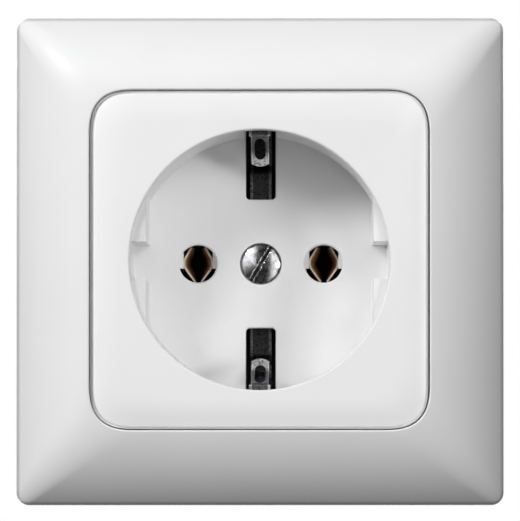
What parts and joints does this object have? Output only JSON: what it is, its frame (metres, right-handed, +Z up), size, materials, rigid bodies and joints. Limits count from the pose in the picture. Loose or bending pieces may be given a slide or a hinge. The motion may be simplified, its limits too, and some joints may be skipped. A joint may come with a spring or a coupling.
{
  "type": "type f wall socket",
  "caption": "Recessed earthed wall socket for round-pin plugs, with sprung earth clips, a square cover frame with a convex border, a steel support ring and spreading claws behind.",
  "frame": {"origin": "middle of the support ring's back face, which lies on the wall", "axes": "+X right and +Z up as the socket is looked at, +Y into the wall"},
  "size_m": [0.0732, 0.0413, 0.0732],
  "materials": {
    "frame_plastic": "moulded white thermoplastic, satin gloss",
    "plate_plastic": "moulded white thermoplastic, satin gloss",
    "base_thermoset": "moulded pale thermoset, matt",
    "rear_cover_plastic": "moulded grey thermoset, matt",
    "chromed_screw": "bright nickel-chrome plate",
    "zinc_plated_screw": "zinc-plated steel",
    "zinc_plated_sheet": "zinc-plated stamped steel sheet",
    "nickelled_spring": "nickel-plated spring bronze",
    "contact_brass": "bare spring brass",
    "terminal_brass": "bare machined brass",
    "rivet_brass": "bare brass",
    "claw_steel": "zinc-plated stamped steel"
  },
  "bodies": {
    "socket": {"cover_frame": "frame_plastic", "centre_plate": "plate_plastic", "cover_screw": "chromed_screw", "support_ring": "zinc_plated_sheet", "socket_base": "base_thermoset", "rear_cover": "rear_cover_plastic", "line_contact": "contact_brass", "neutral_contact": "contact_brass", "line_terminal": "terminal_brass", "neutral_terminal": "terminal_brass", "line_contact_rivet": "rivet_brass", "neutral_contact_rivet": "rivet_brass", "line_terminal_screw_upper": "zinc_plated_screw", "line_terminal_screw_lower": "zinc_plated_screw", "neutral_terminal_screw_upper": "zinc_plated_screw", "neutral_terminal_screw_lower": "zinc_plated_screw", "earth_bracket": "nickelled_spring", "earth_terminal": "terminal_brass", "earth_rivet": "rivet_brass", "earth_terminal_screw_left": "zinc_plated_screw", "earth_terminal_screw_right": "zinc_plated_screw", "rear_cover_screw_upper": "zinc_plated_screw", "rear_cover_screw_lower": "zinc_plated_screw"},
    "right_screw": {"right_claw_screw": "zinc_plated_screw"},
    "right_claw": {"right_claw": "claw_steel"},
    "left_screw": {"left_claw_screw": "zinc_plated_screw"},
    "left_claw": {"left_claw": "claw_steel"}
  },
  "joints": [
    {"name": "right_screw_tilt", "type": "hinge", "parent": "socket", "child": "right_screw", "pos_m": [0.0246, -0.00299, 0], "axis": [0, 0, -1], "range_deg": [0, 9]},
    {"name": "right_claw_travel", "type": "slide", "parent": "right_screw", "child": "right_claw", "axis": [0, -1, 0], "range_m": [0, 0.006]},
    {"name": "left_screw_tilt", "type": "hinge", "parent": "socket", "child": "left_screw", "pos_m": [-0.0246, -0.00299, 0], "axis": [0, 0, 1], "range_deg": [0, 9]},
    {"name": "left_claw_travel", "type": "slide", "parent": "left_screw", "child": "left_claw", "axis": [0, -1, 0], "range_m": [0, 0.006]}
  ],
  "couplings": [
    {"joint": "right_claw_travel", "follows": "right_screw_tilt", "m_per_rad": 0.03815},
    {"joint": "left_claw_travel", "follows": "left_screw_tilt", "m_per_rad": 0.03815}
  ]
}
